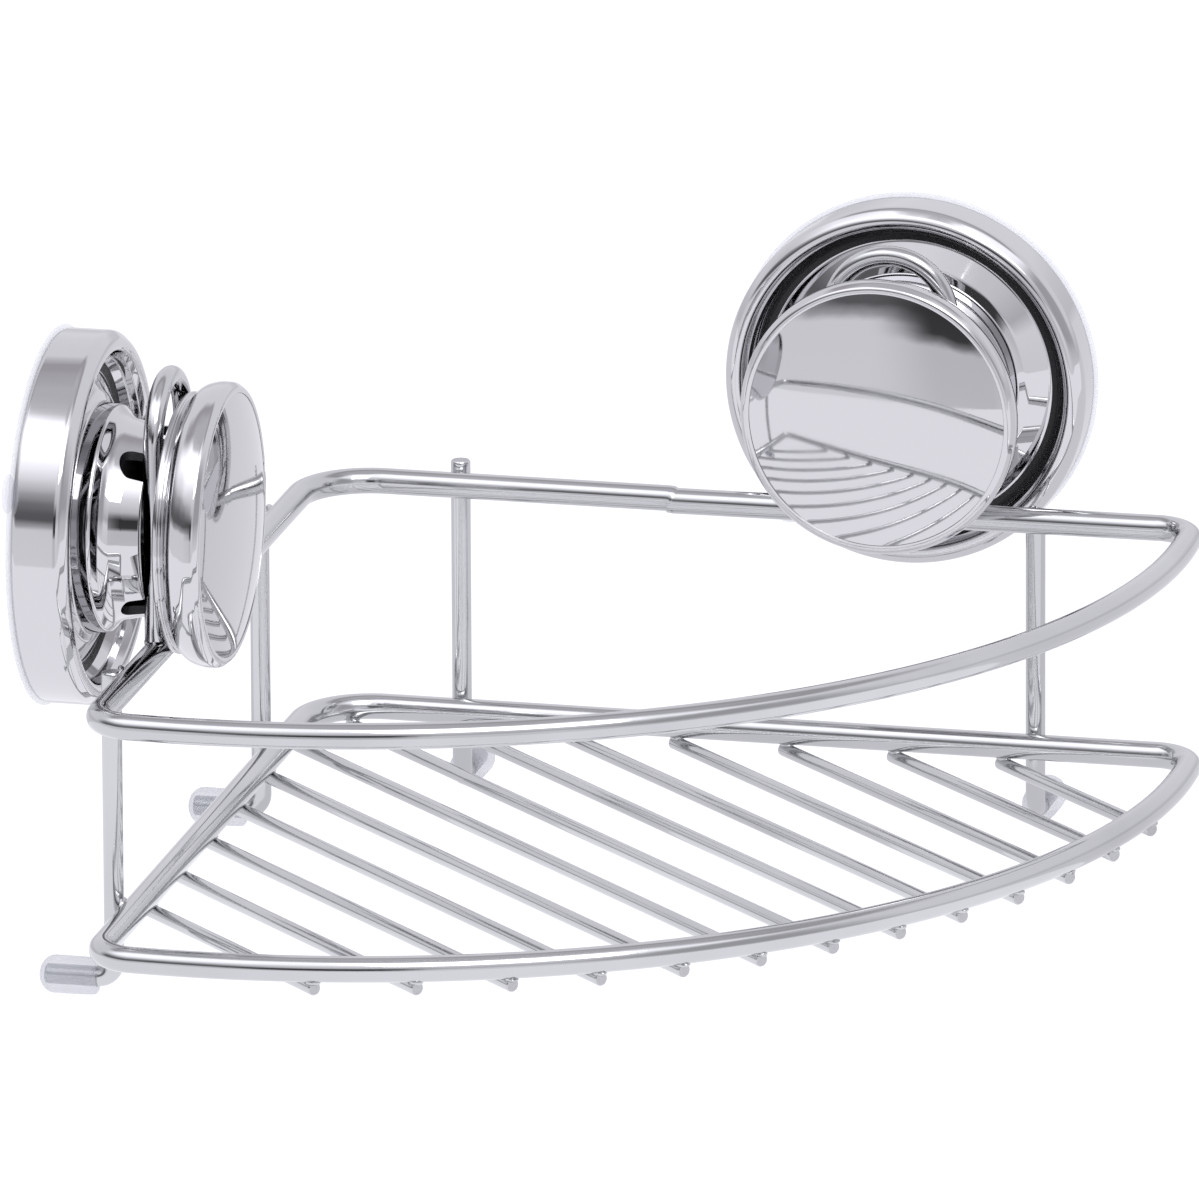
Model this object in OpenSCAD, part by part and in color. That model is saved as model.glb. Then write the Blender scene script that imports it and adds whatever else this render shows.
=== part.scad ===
// Corner shower caddy: a wire basket for the inside corner of two walls, hung from two
// screw-lock suction cups. The origin is the wall corner, at the height of the bottom rim's
// centre line. The left wall is the plane x = 0 and the right wall is the plane y = 0, so the
// basket lies at +x and -y. Every dimension is in millimetres.

/* [Basket] */
// Length of each straight side, from corner to corner of the rim's centre line
side_len = 200; // [190:1:225]
// Height from the bottom rim to the top rim, between centre lines
basket_h = 52.4; // [45:0.1:75]
// Distance from each wall to the rim's centre line
wall_gap = 26; // [25.5:0.1:28]
// Radius of the bulging front arc's centre line
front_r = 181.8; // [175:0.1:200]
// Bend radius of the rim at the wall corner
back_bend_r = 16; // [10:0.5:20]
// Bend radius of the rim at its two front corners
front_bend_r = 9; // [7:0.5:11]
// Diameter of the rim wire
rim_d = 5.8; // [5:0.1:6]

/* [Uprights and floor] */
// Diameter of the upright wires
upright_d = 4.4; // [4:0.1:4.6]
// Distance from the corner to the near upright on each side
upright_near = 32; // [28:0.5:36]
// Distance from the corner to the far upright on each side
upright_far = 163.2; // [160:0.5:168]
// How far the cut end of the near right upright stands above the top rim's centre line
upright_tall = 4.5; // [3.5:0.1:6]
// Number of floor wires, an odd number
slat_count = 13; // [13:2:13]
// Spacing of the floor wires
slat_pitch = 18.1; // [17.5:0.1:18.2]
// Diameter of the floor wires
slat_d = 3.1; // [2.6:0.1:3.4]

/* [Bumpers] */
// Outer diameter of the soft bumper sleeves
bumper_d = 8.4; // [8:0.1:9]
// Length of a bumper sleeve
bumper_len = 13; // [11:0.5:14]

/* [Hanger loops] */
// Diameter of the hanger loop wire
loop_d = 4.4; // [4:0.1:4.6]
// Spacing of a hanger loop's two legs, between centre lines
loop_w = 26.6; // [26:0.1:28]
// Height of a hanger loop's outer top above the top rim's centre line
loop_h = 61; // [60:0.5:66]
// Distance from the corner to a hanger loop's middle
loop_at = 131.3; // [120:0.1:135]

/* [Suction cups] */
// Height of the left cup's axis above the top rim's centre line
cup_left_h = 26.2; // [25:0.1:28]
// Height of the right cup's axis above the top rim's centre line
cup_right_h = 24.9; // [24.8:0.1:28]
// Outer radius of the dish-shaped base cover
base_r = 41; // [40:0.1:42]
// Radius of the soft suction pad
pad_r = 42; // [42:0.1:44]
// Radius of the notched collar's mouth
collar_r = 20.8; // [20:0.1:21]
// Radius of the knob's front flange
knob_r = 31.2; // [30:0.1:32]
// Diameter of the threaded stud
stud_d = 10; // [9:0.1:10]

/* [Hidden] */
$fn = 96;
// Depth that one welded wire sinks into the next
weld_bite = 0.1;
// Height of the bottom ends of the uprights, where they turn to the wall
foot_h = -16;
foot_bend_r = 3.6;
// Distance from the wall to the tip of a bumper and to the end of the wire inside it
bumper_tip = 4.3;
foot_end = 5.7;
// Distance from the wall to the uprights' centre lines
upright_gap = wall_gap - rim_d / 2 - upright_d / 2 + weld_bite;
// Sideways place of the middle floor wire, and how much narrower each next gap is to the right
slat_shift = 4.6;
slat_crowd = 0.12;
// How far the hidden tops of the other uprights stand above the top rim's centre line
upright_short = 1;

// The rim's corner on the plan, the centre of its front arc and of its two front corner bends
corner = [wall_gap, -wall_gap];
arc_in = side_len / 2 - sqrt(pow(front_r, 2) - pow(side_len, 2) / 2) / sqrt(2);
bend_out = arc_in + sqrt(pow(front_r - front_bend_r, 2) - pow(front_bend_r - arc_in, 2));
bend_angle = atan2(arc_in - front_bend_r, bend_out - arc_in);

// Centre lines of the two hanger loops above the top rim
loop_r = loop_w / 2;
loop_bend_h = loop_h - loop_d / 2 - loop_r;

// Distances from the wall along a cup's axis
pad_edge_t = 0.7;
cover_back = 0.9;
cover_front = 12.6;
groove_t = 6.7;
collar_mouth = wall_gap - 1.5;
cover_wall = 1.6;
plate_back = 3.2;
plate_front = 5;
boss_top = 9.8;
web_back = 13;
sleeve_front = 20;
washer_back = wall_gap + loop_d / 2 + 0.1;
knob_back = wall_gap + rim_d / 2 + 0.3;
hub_back = 25;
knob_face = wall_gap + 14.8;
stud_tip = 31;

// The slots in the collar, in which it draws up past the loop's legs
notch_w = 5.5;
notch_deep = 6;
// How far the stud can pull the pad's middle, and the clearance of every bore round the stud
pad_pull = 3;
running = 0.05;
// The stud's flat head, the insert in the knob, the knob's hub and cap, and the pad's pull tab
head_r = 11;
head_h = 2.2;
insert_r = 7;
insert_h = 10;
hub_r = 9.7;
hub_h = 13.2;
cap_r = 28.9;
cap_t = 1.6;
tab_r = 4.4;

// Points along an arc, for turned profiles
function arc_points(centre, r, from, to, steps) =
  [for (i = [0:steps]) let (a = from + (to - from) * i / steps) centre + r * [cos(a), sin(a)]];

// Lays a child on a wall: its x runs along the wall, its y is up and its z points into the room
module on_left_wall(along, up) {
  translate([0, -(wall_gap + along), up]) rotate([90, 0, 90]) children();
}
module on_right_wall(along, up) {
  translate([wall_gap + along, 0, up]) rotate([90, 0, 0]) children();
}
module on_wall(side, along, up) {
  if (side == "left") on_left_wall(along, up) children();
  else on_right_wall(along, up) children();
}
module at_cup(side) {
  on_wall(side, loop_at, basket_h + (side == "left" ? cup_left_h : cup_right_h)) children();
}

// A bent stretch of wire in the plane z = 0
module wire_arc(centre, r, from, to, d) {
  translate([centre.x, centre.y, 0]) rotate([0, 0, from])
    rotate_extrude(angle = to - from) translate([r, 0]) circle(d = d);
}
module wire_line(start, end, d) {
  run = end - start;
  translate([start.x, start.y, 0]) rotate([0, 0, atan2(run.y, run.x)])
    rotate([0, 90, 0]) cylinder(d = d, h = norm(run));
}

// One closed rim: two straight sides, a back bend, two front bends and the bulging front arc
module rim(up) {
  translate([corner.x, corner.y, up]) {
    wire_arc([back_bend_r, -back_bend_r], back_bend_r, 90, 180, rim_d);
    wire_line([0, -back_bend_r], [0, -bend_out], rim_d);
    wire_arc([front_bend_r, -bend_out], front_bend_r, 180, 270 - bend_angle, rim_d);
    wire_arc([arc_in, -arc_in], front_r, 270 - bend_angle, 360 + bend_angle, rim_d);
    wire_arc([bend_out, -front_bend_r], front_bend_r, bend_angle, 90, rim_d);
    wire_line([back_bend_r, 0], [bend_out, 0], rim_d);
  }
}
module top_rim() { color("silver") rim(basket_h); }
module bottom_rim() { color("silver") rim(0); }

// A tall arch of wire that stands on the top rim, with its feet coped to the rim
module hanger_loop(side) {
  color("silver") on_wall(side, loop_at, basket_h) translate([0, 0, wall_gap]) difference() {
    union() {
      for (leg = [-1, 1]) translate([leg * loop_r, 1.5, 0])
        rotate([-90, 0, 0]) cylinder(d = loop_d, h = loop_bend_h - 1.5);
      translate([0, loop_bend_h, 0]) wire_arc([0, 0], loop_r, 0, 180, loop_d);
    }
    rotate([0, 90, 0]) cylinder(d = rim_d, h = 2 * loop_w, center = true);
  }
}

// An upright wire, welded behind both rims, whose foot turns to the wall
module upright(side, along, above) {
  bend_h = foot_h + foot_bend_r;
  bend_t = upright_gap - foot_bend_r;
  color("silver") on_wall(side, along, 0) {
    translate([0, bend_h, upright_gap]) rotate([-90, 0, 0])
      cylinder(d = upright_d, h = basket_h + above - bend_h);
    translate([0, bend_h, bend_t]) rotate([180, -90, 0])
      wire_arc([0, 0], foot_bend_r, 0, 90, upright_d);
    translate([0, foot_h, foot_end]) cylinder(d = upright_d, h = bend_t - foot_end);
  }
}

// A soft clear sleeve with a round nose, pushed on an upright's foot
module bumper(side, along) {
  nose_r = bumper_d / 2;
  color("gainsboro", 0.6) on_wall(side, along, foot_h) translate([0, 0, bumper_tip]) difference() {
    rotate_extrude() polygon(concat([[0, bumper_len], [0, 0]],
      arc_points([nose_r - 3, 3], 3, -90, 0, 8), [[nose_r, bumper_len]]));
    translate([0, 0, foot_end - bumper_tip]) cylinder(d = upright_d, h = bumper_len);
  }
}

// A floor wire, welded under the bottom rim and parallel to the corner's bisector
module floor_wire(index) {
  step = index - (slat_count + 1) / 2;
  aside = slat_shift + step * slat_pitch - slat_crowd / 2 * step * step;
  overhang = 1;
  in_bend = abs(aside) < back_bend_r / sqrt(2);
  from = in_bend ? back_bend_r * sqrt(2) - sqrt(pow(back_bend_r, 2) - pow(aside, 2)) - overhang
    : abs(aside) - overhang * sqrt(2);
  to = arc_in * sqrt(2) + sqrt(pow(front_r, 2) - pow(aside, 2)) + 0.6;
  drop = rim_d / 2 + slat_d / 2 - weld_bite;
  color("silver") translate([corner.x, corner.y, -drop]) rotate([0, 0, -45])
    translate([from, aside, 0]) rotate([0, 90, 0]) cylinder(d = slat_d, h = to - from);
}

// The soft clear pad with its round pull tab, a dished back and a boss round the stud's head
module suction_pad(side) {
  tab_turn = side == "left" ? 158.5 : 228;
  color("gainsboro", 0.6) at_cup(side) difference() {
    union() {
      rotate_extrude() polygon([[0, 0.6], [30, 0.6], [32, 0], [pad_r, 0], [pad_r, pad_edge_t - 0.3],
        [pad_r - 0.4, pad_edge_t], [39.2, pad_edge_t], [38.4, 2.2], [34, 2.8], [14, 2.8],
        [14, boss_top - 1],
        [13, boss_top], [0, boss_top]]);
      rotate([0, 0, tab_turn]) translate([pad_r + 1, 0, 0]) cylinder(r = tab_r, h = cover_back - 0.1);
    }
    translate([0, 0, plate_back - 0.2]) cylinder(r = head_r + 0.3, h = head_h + 0.4 + pad_pull);
    translate([0, 0, plate_back]) cylinder(d = stud_d + 1, h = boss_top);
  }
}

// The threaded stud with the flat head that pulls the pad's middle
module stud(side) {
  color("dimgray") at_cup(side) {
    translate([0, 0, plate_back]) cylinder(r = head_r, h = head_h);
    translate([0, 0, plate_back + 2]) cylinder(d = stud_d, h = stud_tip - plate_back - 3);
    translate([0, 0, stud_tip - 1]) cylinder(d1 = stud_d, d2 = stud_d - 2, h = 1);
  }
}

// The black plate that presses on the pad's rim and guides the stud
module guide_plate(side) {
  color("black") at_cup(side) difference() {
    rotate_extrude() polygon([[14.4, plate_back], [base_r - cover_wall, plate_back],
      [base_r - cover_wall, plate_front], [16.6, plate_front], [16.6, web_back + 2],
      [8, web_back + 2], [8, sleeve_front], [0, sleeve_front], [0, web_back], [14.4, web_back]]);
    translate([0, 0, web_back - 1]) cylinder(d = stud_d + 2 * running, h = sleeve_front);
  }
}

// The dish-shaped cover: skirt, raised ring, wide groove and a bell that ends in a collar
module base_cover(side) {
  outside = [[base_r - 0.4, cover_back], [base_r, cover_back + 0.9], [base_r, cover_front - 2],
    [base_r - 0.4, cover_front - 1], [base_r - 1.3, cover_front - 0.2],
    [base_r - 2.5, cover_front + 0.4], [base_r - 3.4, cover_front + 0.6], [36.8, cover_front + 0.3],
    [36.3, cover_front - 0.8], [35.9, 10.4], [35.2, 8.4], [34.3, 7.1], [33.2, groove_t],
    [31.6, 7.2], [27.2, 9.4], [25.3, 10], [24.9, 10.8], [24.9, 13.4], [24.3, 14.7], [22.9, 16.4],
    [22, 18.4], [21.5, 20.4]];
  mouth = [[collar_r, collar_mouth - 0.5], [collar_r - 0.5, collar_mouth],
    [collar_r - 1.1, collar_mouth], [collar_r - cover_wall, collar_mouth - 0.5]];
  inside = [[19.8, 20.4], [20.4, 18], [21.4, 15.8], [23.2, 13.6], [23.4, 9.2], [24.4, 8.4],
    [26.4, 7.9], [31, 5.9], [32.8, groove_t - 1.4], [34.6, 6.2], [36.3, 8], [37.4, cover_front - 1.2],
    [base_r - 2.4, cover_front - 1.6], [base_r - cover_wall, cover_front - 2.8],
    [base_r - cover_wall, cover_back]];
  color("lightgray") at_cup(side) difference() {
    rotate_extrude() polygon(concat(outside, mouth, inside));
    for (leg = [-1, 1]) translate([leg * loop_r, 0, collar_mouth - notch_deep + notch_w / 2])
      rotate([90, 0, 0]) {
        cylinder(d = notch_w, h = 2 * collar_r, center = true);
        translate([-notch_w / 2, 0, -collar_r]) cube([notch_w, notch_deep, 2 * collar_r]);
      }
  }
}

// The thin washer between the knob and the loop's legs
module clamp_washer(side) {
  color("black") at_cup(side) translate([0, 0, washer_back]) difference() {
    cylinder(r = 17, h = knob_back - washer_back - 0.05);
    translate([0, 0, -1]) cylinder(r = 10, h = 4);
  }
}

// The metal insert that runs on the stud, moulded into the knob's hub
module thread_insert(side) {
  color("darkgoldenrod") at_cup(side) translate([0, 0, hub_back + 0.5]) difference() {
    cylinder(r = insert_r, h = insert_h);
    translate([0, 0, -1]) cylinder(d = stud_d + 2 * running, h = insert_h + 2);
  }
}

// The spool-shaped knob, open at the front for its cap
module knob(side) {
  rim_face = [[cap_r, knob_face - cap_t], [cap_r, knob_face - 0.4], [cap_r + 0.6, knob_face]];
  outside = [[knob_r - 0.9, knob_face - 0.3], [knob_r - 0.3, knob_face - 1],
    [knob_r, knob_face - 2.4], [knob_r, knob_face - 3.8], [knob_r - 0.3, knob_face - 5.8],
    [knob_r - 0.9, knob_face - 7.4], [knob_r - 1.8, knob_face - 8.8], [28.6, knob_back + 2],
    [28.2, knob_back + 1.6], [28.5, knob_back + 1.2], [28.5, knob_back + 0.6],
    [28, knob_back + 0.1], [27.4, knob_back]];
  hub = [[hub_r, knob_back], [hub_r, hub_back], [0, hub_back], [0, hub_back + hub_h],
    [hub_r, hub_back + hub_h], [hub_r, knob_back + 2]];
  inside = [[26.2, knob_back + 2], [27, knob_back + 4], [27, knob_face - cap_t]];
  color("silver") at_cup(side) difference() {
    rotate_extrude() polygon(concat(rim_face, outside, hub, inside));
    translate([0, 0, hub_back - 1]) cylinder(d = stud_d + 1, h = 20);
    translate([0, 0, hub_back + 0.5]) cylinder(r = insert_r, h = insert_h);
  }
}

// The mirror-bright disc that closes the knob's front
module knob_cap(side) {
  color("whitesmoke") at_cup(side) translate([0, 0, knob_face - cap_t])
    rotate_extrude() polygon([[0, 0], [cap_r, 0], [cap_r, 0.9], [25, 1.9], [20, 2.8],
      [10, 3.9], [0, 4.2]]);
}

// Draws the node that is asked for, or every node
top_rim();
bottom_rim();
for (index = [1:slat_count]) {
  floor_wire(index);
}
for (side = ["left", "right"]) {
  hanger_loop(side);
  upright(side, upright_near, side == "right" ? upright_tall : upright_short);
  upright(side, upright_far, upright_short);
  bumper(side, upright_near);
  bumper(side, upright_far);
  suction_pad(side);
  guide_plate(side);
  base_cover(side);
  stud(side);
  clamp_washer(side);
  thread_insert(side);
  knob(side);
  knob_cap(side);
}
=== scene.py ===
"""Corner shower caddy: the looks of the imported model, in its own frame and in metres.

The left wall is the plane x = 0 and the right wall is the plane y = 0. A cup's own frame has
x along its wall, y up and z out of the wall into the room.
"""
import math
import bpy
import bmesh
from mathutils import Matrix, Vector, noise


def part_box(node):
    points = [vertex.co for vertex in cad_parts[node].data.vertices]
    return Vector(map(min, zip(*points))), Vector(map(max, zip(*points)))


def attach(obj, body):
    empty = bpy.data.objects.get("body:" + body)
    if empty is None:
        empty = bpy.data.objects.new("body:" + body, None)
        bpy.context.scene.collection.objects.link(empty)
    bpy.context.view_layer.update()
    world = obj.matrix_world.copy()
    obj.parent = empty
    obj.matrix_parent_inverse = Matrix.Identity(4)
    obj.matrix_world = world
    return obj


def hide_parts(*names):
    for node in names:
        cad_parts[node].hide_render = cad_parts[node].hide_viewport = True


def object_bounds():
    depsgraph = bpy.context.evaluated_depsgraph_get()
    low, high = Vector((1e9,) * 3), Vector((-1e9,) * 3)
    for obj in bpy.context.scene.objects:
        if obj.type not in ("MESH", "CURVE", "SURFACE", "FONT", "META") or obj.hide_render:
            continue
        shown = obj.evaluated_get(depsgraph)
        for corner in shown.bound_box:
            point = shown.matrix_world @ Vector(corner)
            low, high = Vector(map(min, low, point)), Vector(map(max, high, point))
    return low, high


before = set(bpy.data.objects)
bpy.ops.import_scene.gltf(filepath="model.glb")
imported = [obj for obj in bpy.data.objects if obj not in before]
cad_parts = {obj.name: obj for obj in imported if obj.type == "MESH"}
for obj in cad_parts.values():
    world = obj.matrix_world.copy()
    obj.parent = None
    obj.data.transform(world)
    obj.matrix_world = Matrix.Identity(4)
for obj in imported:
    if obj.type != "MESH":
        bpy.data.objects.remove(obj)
cad_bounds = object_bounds()

MM = 0.001
SIDES = ("left", "right")

# ---- sizes that the frame gives ----------------------------------------------------------


def box_size(node):
    low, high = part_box(node)
    return [high[i] - low[i] for i in range(3)]


def box_middle(node):
    low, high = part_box(node)
    return Vector([(low[i] + high[i]) / 2 for i in range(3)])


def along_wall(side, node):
    """How far a piece's middle lies from the corner, along its wall."""
    middle = box_middle(node)
    return -middle.y if side == "left" else middle.x


def out_of_wall(side, node):
    """How far from its wall a piece starts and ends."""
    low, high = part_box(node)
    return (low[0], high[0]) if side == "left" else (-high[1], -low[1])


def loop_half_width(side):
    """Half the distance between the two legs of a hanger loop."""
    return max(box_size(f"{side}_hanger_loop")[:2]) / 2 - LOOP_R


RIM_R = box_size("top_rim")[2] / 2
WALL_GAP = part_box("top_rim")[0][0] + RIM_R
TOP_Z = box_middle("top_rim").z
UPRIGHT_R = box_size("right_upright_far")[0] / 2
FLOOR_WIRE_R = box_size("floor_wire_7")[2] / 2
LOOP_R = box_size("right_hanger_loop")[1] / 2

# ---- the basket's bends and counts, as designed ----------------------------------------------

SIDE_LEN = 200 * MM
FRONT_R = 181.8 * MM
BACK_BEND = 16 * MM
FRONT_BEND = 9 * MM
FOOT_BEND = 3.6 * MM
SEAM_AT = 81.5 * MM
SEAM_STEP = 0.5 * MM
FLOOR_WIRES = 13
UPRIGHTS = ("near", "far")
DOWN_THE_MIDDLE = Vector((1, -1, 0)).normalized()
ACROSS = Vector((1, 1, 0)).normalized()
UP = Vector((0, 0, 1))

# ---- small helpers -------------------------------------------------------------------------


def wall_matrix(side, along, up):
    """Places a wall's own frame: x along the wall, y up, z out of the wall."""
    if side == "left":
        axes = ((0, 0, 1), (1, 0, 0), (0, 1, 0))
        place = Vector((0, -along, up))
    else:
        axes = ((1, 0, 0), (0, 0, -1), (0, 1, 0))
        place = Vector((along, 0, up))
    turn = Matrix(axes).to_4x4()
    return Matrix.Translation(place) @ turn


def new_object(name, mesh, body, slot, *materials):
    """Puts a mesh in the scene on its body, with its materials; the slot argument is not used."""
    obj = bpy.data.objects.new(name, mesh)
    bpy.context.scene.collection.objects.link(obj)
    for material in materials:
        mesh.materials.append(material)
    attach(obj, body)
    return obj


def shade(mesh, sharp_degrees):
    """Smooth shading, broken at edges that are sharper than the angle."""
    bm = bmesh.new()
    bm.from_mesh(mesh)
    for face in bm.faces:
        face.smooth = True
    limit = math.radians(sharp_degrees)
    for edge in bm.edges:
        edge.smooth = len(edge.link_faces) == 2 and edge.calc_face_angle(0) < limit
    bm.to_mesh(mesh)
    bm.free()


def closing_turn(side, tangent, start_spoke, sides):
    """How many points a closed tube's last ring is turned by against its first ring."""
    last = (side - side.dot(tangent) * tangent).normalized()
    start = start_spoke.normalized()
    angle = math.atan2(start.cross(last).dot(tangent), start.dot(last))
    return round(angle / (2 * math.pi) * sides)


def finished_mesh(name, bm, matrix=None, sharp_degrees=40):
    """Turns a bmesh into a shaded mesh whose faces agree on one side, and frees the bmesh."""
    bmesh.ops.recalc_face_normals(bm, faces=bm.faces)
    if matrix is not None:
        bmesh.ops.transform(bm, matrix=matrix, verts=bm.verts)
    mesh = bpy.data.meshes.new(name)
    bm.to_mesh(mesh)
    bm.free()
    shade(mesh, sharp_degrees)
    return mesh


def bridge(bm, a, b, shift=0):
    """Joins two rings of as many points by a band of faces."""
    count = len(a)
    for k in range(count):
        n = (k + 1) % count
        bm.faces.new((a[k], a[n], b[(n + shift) % count], b[(k + shift) % count]))


def cap_ends(bm, rings):
    """Closes a row of rings with a flat face at each end."""
    bm.faces.new(list(reversed(rings[0])))
    bm.faces.new(rings[-1])


def tube_mesh(name, points, radii, sides, closed=False):
    """A tube through the points, with flat ends where it isn't closed."""
    count = len(points)
    tangents = []
    for i in range(count):
        before = points[i - 1] if i or closed else points[0]
        after = points[(i + 1) % count] if i < count - 1 or closed else points[-1]
        tangents.append((after - before).normalized())
    side = tangents[0].orthogonal().normalized()
    rings = []
    bm = bmesh.new()
    for i in range(count):
        side = (side - side.dot(tangents[i]) * tangents[i]).normalized()
        up = tangents[i].cross(side)
        ring = []
        for k in range(sides):
            a = 2 * math.pi * k / sides
            spoke = math.cos(a) * side + math.sin(a) * up
            ring.append(bm.verts.new(points[i] + radii[i] * spoke))
        rings.append(ring)
    for a, b in zip(rings, rings[1:]):
        bridge(bm, a, b)
    if closed:
        turn = closing_turn(side, tangents[0], rings[0][0].co - points[0], sides)
        bridge(bm, rings[-1], rings[0], turn)
    else:
        cap_ends(bm, rings)
    return finished_mesh(name, bm)


def cut_wire(points, radius, bevel):
    """Points and radii of a wire whose cut ends have a small worn bevel."""
    first = (points[1] - points[0]).normalized()
    last = (points[-1] - points[-2]).normalized()
    path = [points[0], points[0] + first * bevel, points[0] + first * bevel * 2]
    path += list(points[1:-1])
    path += [points[-1] - last * bevel * 2, points[-1] - last * bevel, points[-1]]
    radii = [radius] * len(path)
    radii[0] = radii[-1] = radius - bevel
    radii[1] = radii[-2] = radius - bevel * 0.12
    return path, radii


def arc(centre, radius, start, end, step_degrees):
    """Points on an arc in the plan, with angles in degrees."""
    count = max(2, math.ceil(abs(end - start) / step_degrees))
    points = []
    for i in range(count + 1):
        a = math.radians(start + (end - start) * i / count)
        spoke = Vector((math.cos(a), math.sin(a), 0))
        points.append(Vector((*centre, 0)) + radius * spoke)
    return points


def line(start, end, count):
    """Points that divide a straight line into equal parts, both ends included."""
    return [start + (end - start) * i / count for i in range(count + 1)]


def rounded(corners, steps=7):
    """A profile whose corners (r, t, fillet) are rounded by arcs; all in millimetres."""
    points = []
    last = len(corners) - 1
    for i, (r, t, fillet) in enumerate(corners):
        here = Vector((r, t))
        if fillet <= 0 or i in (0, last):
            points.append(here)
            continue
        before = Vector(corners[i - 1][:2]) - here
        after = Vector(corners[i + 1][:2]) - here
        half = before.angle(after) / 2
        reach = min(fillet / math.tan(half), before.length * 0.49, after.length * 0.49)
        size = reach * math.tan(half)
        inwards = (before.normalized() + after.normalized()).normalized()
        middle = here + inwards * size / math.sin(half)
        a = here + before.normalized() * reach - middle
        b = here + after.normalized() * reach - middle
        sweep = a.angle_signed(b)
        for k in range(steps + 1):
            turned = a.copy()
            turned.rotate(Matrix.Rotation(-sweep * k / steps, 2))
            points.append(middle + turned)
    return points


def lathe_mesh(name, profile, matrix, steps, wobble=0.0):
    """Turns a profile of (r, t) millimetres about the z axis of the given frame."""
    bm = bmesh.new()
    rings = []
    for r, t in profile:
        if r < 1e-6:
            rings.append([bm.verts.new((0, 0, t * MM))])
            continue
        ring = []
        for k in range(steps):
            a = 2 * math.pi * k / steps
            drift = wobble * noise.noise(Vector((math.cos(a) * 1.5, math.sin(a) * 1.5, t * 0.2)))
            reach = (r + drift) * MM
            ring.append(bm.verts.new((reach * math.cos(a), reach * math.sin(a), t * MM)))
        rings.append(ring)
    pairs = list(zip(rings, rings[1:]))
    starts_off_axis = len(rings[0]) > 1
    if starts_off_axis:
        pairs.append((rings[-1], rings[0]))
    for a, b in pairs:
        if len(a) > 1 and len(b) > 1:
            bridge(bm, a, b)
        elif len(a) > 1 or len(b) > 1:
            for k in range(steps):
                n = (k + 1) % steps
                bm.faces.new((a[0], b[k], b[n]) if len(a) == 1 else (a[k], a[n], b[0]))
    return finished_mesh(name, bm, matrix)


def carve(obj, cutters):
    """Cuts the meshes out of the object for good."""
    for i, mesh in enumerate(cutters):
        tool = bpy.data.objects.new(f"cutter_{i}", mesh)
        bpy.context.scene.collection.objects.link(tool)
        cut = obj.modifiers.new("cut", "BOOLEAN")
        cut.object = tool
        cut.operation = "DIFFERENCE"
        cut.solver = "EXACT"
        bpy.context.view_layer.update()
        depsgraph = bpy.context.evaluated_depsgraph_get()
        done = bpy.data.meshes.new_from_object(obj.evaluated_get(depsgraph))
        obj.modifiers.clear()
        old = obj.data
        obj.data = done
        bpy.data.meshes.remove(old)
        bpy.data.objects.remove(tool)


# ---- materials -----------------------------------------------------------------------------


def principled(name, color, roughness, metallic=0.0, **sockets):
    """A new material with its tree and its shader; a socket's name has _ for a space."""
    material = bpy.data.materials.new(name)
    material.use_nodes = True
    shader = material.node_tree.nodes["Principled BSDF"]
    shader.inputs["Base Color"].default_value = (*color, 1)
    shader.inputs["Roughness"].default_value = roughness
    shader.inputs["Metallic"].default_value = metallic
    for socket, value in sockets.items():
        shader.inputs[socket.replace("_", " ")].default_value = value
    return material, material.node_tree, shader


def add(tree, kind, **settings):
    node = tree.nodes.new(kind)
    for key, value in settings.items():
        setattr(node, key, value)
    return node


def noise_texture(tree, scale, detail, rough=0.5):
    """Noise in object space, in which one unit is a metre."""
    place = add(tree, "ShaderNodeTexCoord")
    node = add(tree, "ShaderNodeTexNoise")
    node.inputs["Scale"].default_value = scale
    node.inputs["Detail"].default_value = detail
    node.inputs["Roughness"].default_value = rough
    tree.links.new(place.outputs["Object"], node.inputs["Vector"])
    return node.outputs["Fac"]


def ramp(tree, source, stops):
    """Maps a value through (place, grey or colour) stops."""
    node = add(tree, "ShaderNodeValToRGB")
    elements = node.color_ramp.elements
    while len(elements) < len(stops):
        elements.new(0.5)
    for element, (place, value) in zip(elements, stops):
        element.position = place
        element.color = (*value, 1) if isinstance(value, tuple) else (value, value, value, 1)
    tree.links.new(source, node.inputs["Fac"])
    return node.outputs["Color"]


def vary(tree, shader, socket, source, stops):
    """Lets a texture drive a socket of the shader between the stops."""
    tree.links.new(ramp(tree, source, stops), shader.inputs[socket])


def bump(tree, shader, source, strength, distance, below=None):
    """A fine relief; `below` is a coarser relief that it lies on."""
    node = add(tree, "ShaderNodeBump")
    node.inputs["Strength"].default_value = strength
    node.inputs["Distance"].default_value = distance
    tree.links.new(source, node.inputs["Height"])
    if below:
        tree.links.new(below, node.inputs["Normal"])
    tree.links.new(node.outputs["Normal"], shader.inputs["Normal"])
    return node.outputs["Normal"]


def chrome_wire_material():
    """Plated wire: a hard bright skin over drawn steel, with faint waves and a few dull patches."""
    material, tree, shader = principled("chrome_wire", (0.586, 0.592, 0.598), 0.1, 1.0)
    patches = noise_texture(tree, 90, 4.0)
    vary(tree, shader, "Roughness", patches, [(0.35, 0.07), (0.62, 0.13), (0.8, 0.2)])
    tint = noise_texture(tree, 28, 2.0)
    vary(tree, shader, "Base Color", tint,
         [(0.3, (0.551, 0.557, 0.564)), (0.7, (0.616, 0.622, 0.628))])
    waves = bump(tree, shader, noise_texture(tree, 160, 2.0), 0.25, 0.0001)
    bump(tree, shader, noise_texture(tree, 2200, 2.0), 0.04, 0.00002, below=waves)
    return material


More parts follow.
